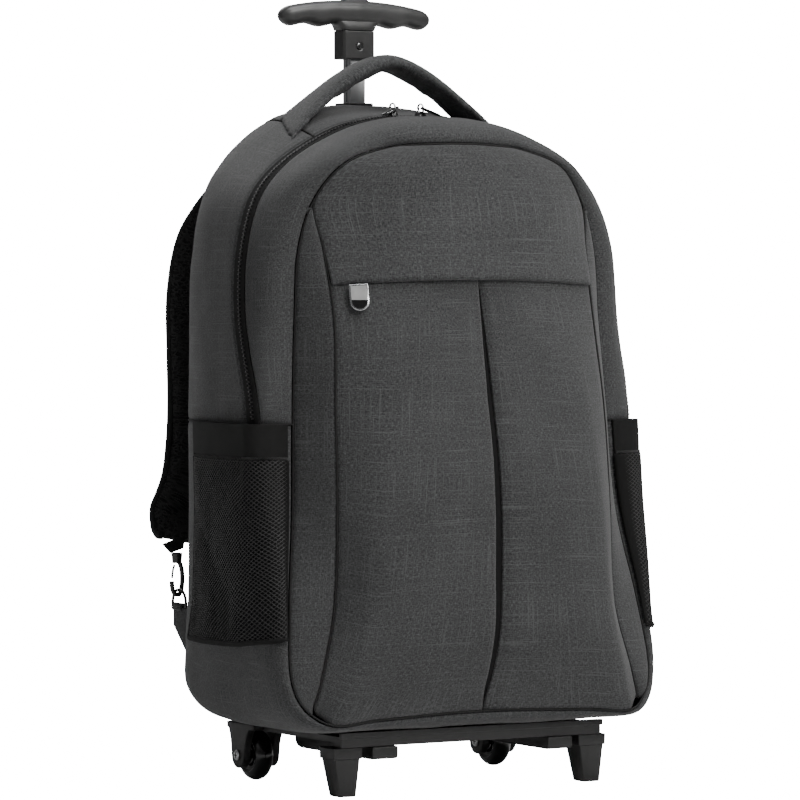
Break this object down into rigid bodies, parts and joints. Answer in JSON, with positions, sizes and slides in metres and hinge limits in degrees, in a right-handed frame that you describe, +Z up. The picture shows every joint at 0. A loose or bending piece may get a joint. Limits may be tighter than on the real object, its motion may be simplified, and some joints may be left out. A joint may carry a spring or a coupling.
{
  "type": "wheeled backpack",
  "caption": "Tall soft backpack on a moulded base with front feet and rear wheels, a single-pole trolley handle, bottle nets, and padded shoulder straps on snap hooks.",
  "frame": {"origin": "on the floor, under the middle of the bag's footprint, with the straps counted in it", "axes": "+Z up; -Y the way the front pocket faces, so the shoulder straps hang on the +Y side; +X to the right when the front is looked at"},
  "size_m": [0.3836, 0.331, 0.6555],
  "materials": {
    "cloth": "charcoal melange woven polyester, matt",
    "back_mesh": "black air mesh",
    "strap_mesh": "black air mesh with a thin binding",
    "zipper": "black woven tape with moulded teeth",
    "band": "black ribbed elastic",
    "net": "black knotted net",
    "webbing": "black webbing",
    "plastic": "black moulded plastic, fine grain",
    "grip": "dark grey satin plastic",
    "button": "grey satin plastic",
    "wheel": "glossy black",
    "pole_metal": "grey anodised",
    "screw_metal": "bright zinc",
    "pull_metal": "bright nickel",
    "gate_metal": "dark spring steel"
  },
  "bodies": {
    "bag": {"front_gusset": "cloth", "main_zipper": "zipper", "lower_gusset": "cloth", "rear_gusset_right": "cloth", "rear_gusset_left": "cloth", "rear_gusset_top": "cloth", "back_panel": "back_mesh", "pocket_upper": "cloth", "pocket_lower_left": "cloth", "pocket_lower_right": "cloth", "front_strip_left": "cloth", "front_strip_right": "cloth", "pleat_backing": "cloth", "side_pocket_band_left": "band", "side_pocket_net_left": "net", "side_pocket_band_right": "band", "side_pocket_net_right": "net", "haul_handle": "cloth", "guide_tube": "pole_metal", "tube_collar": "plastic", "shoulder_strap_right": "strap_mesh", "shoulder_strap_left": "strap_mesh", "strap_webbing_right": "webbing", "strap_webbing_left": "webbing", "snap_hook_right": "plastic", "snap_hook_left": "plastic", "d_ring_right": "plastic", "d_ring_left": "plastic", "ring_tab_right": "cloth", "ring_tab_left": "cloth", "main_slider_left": "plastic", "pull_ring_left": "pull_metal", "main_pull_left": "pull_metal", "main_slider_right": "plastic", "pull_ring_right": "pull_metal", "main_pull_right": "pull_metal", "front_slider": "plastic", "base_tray": "plastic", "front_foot_left": "plastic", "skid_rail_left": "plastic", "wheel_fork_left": "plastic", "axle_left": "screw_metal", "front_foot_right": "plastic", "skid_rail_right": "plastic", "wheel_fork_right": "plastic", "axle_right": "screw_metal"},
    "trolley": {"pole": "pole_metal", "handle_collar": "grip", "collar_screw": "screw_metal", "t_grip": "grip"},
    "button": {"release_button": "button"},
    "front_pull": {"front_pull_tab": "pull_metal"},
    "wheel_left": {"wheel_left": "wheel"},
    "gate_left": {"snap_gate_left": "gate_metal"},
    "wheel_right": {"wheel_right": "wheel"},
    "gate_right": {"snap_gate_right": "gate_metal"}
  },
  "joints": [
    {"name": "trolley_slide", "type": "slide", "parent": "bag", "child": "trolley", "axis": [0, 0, 1], "range_m": [-0.036, 0.33]},
    {"name": "button_press", "type": "slide", "parent": "trolley", "child": "button", "axis": [0, 0, -1], "range_m": [0, 0.0022], "stiffness_N_per_m": 500},
    {"name": "front_pull_swing", "type": "hinge", "parent": "bag", "child": "front_pull", "pos_m": [-0.10573, -0.12217, 0.41093], "axis": [-0.9223, 0.3825, -0.0549], "range_deg": [0, 75]},
    {"name": "wheel_left_spin", "type": "hinge", "parent": "bag", "child": "wheel_left", "pos_m": [-0.1162, 0.0299, 0.0215], "axis": [1, 0, 0], "continuous": true},
    {"name": "gate_left_press", "type": "hinge", "parent": "bag", "child": "gate_left", "pos_m": [-0.14521, 0.11855, 0.17559], "axis": [0, -1, 0], "range_deg": [0, 18], "stiffness_Nm_per_rad": 0.02},
    {"name": "wheel_right_spin", "type": "hinge", "parent": "bag", "child": "wheel_right", "pos_m": [0.1162, 0.0299, 0.0215], "axis": [1, 0, 0], "continuous": true},
    {"name": "gate_right_press", "type": "hinge", "parent": "bag", "child": "gate_right", "pos_m": [0.14521, 0.11855, 0.17559], "axis": [0, 1, 0], "range_deg": [0, 18], "stiffness_Nm_per_rad": 0.02}
  ]
}
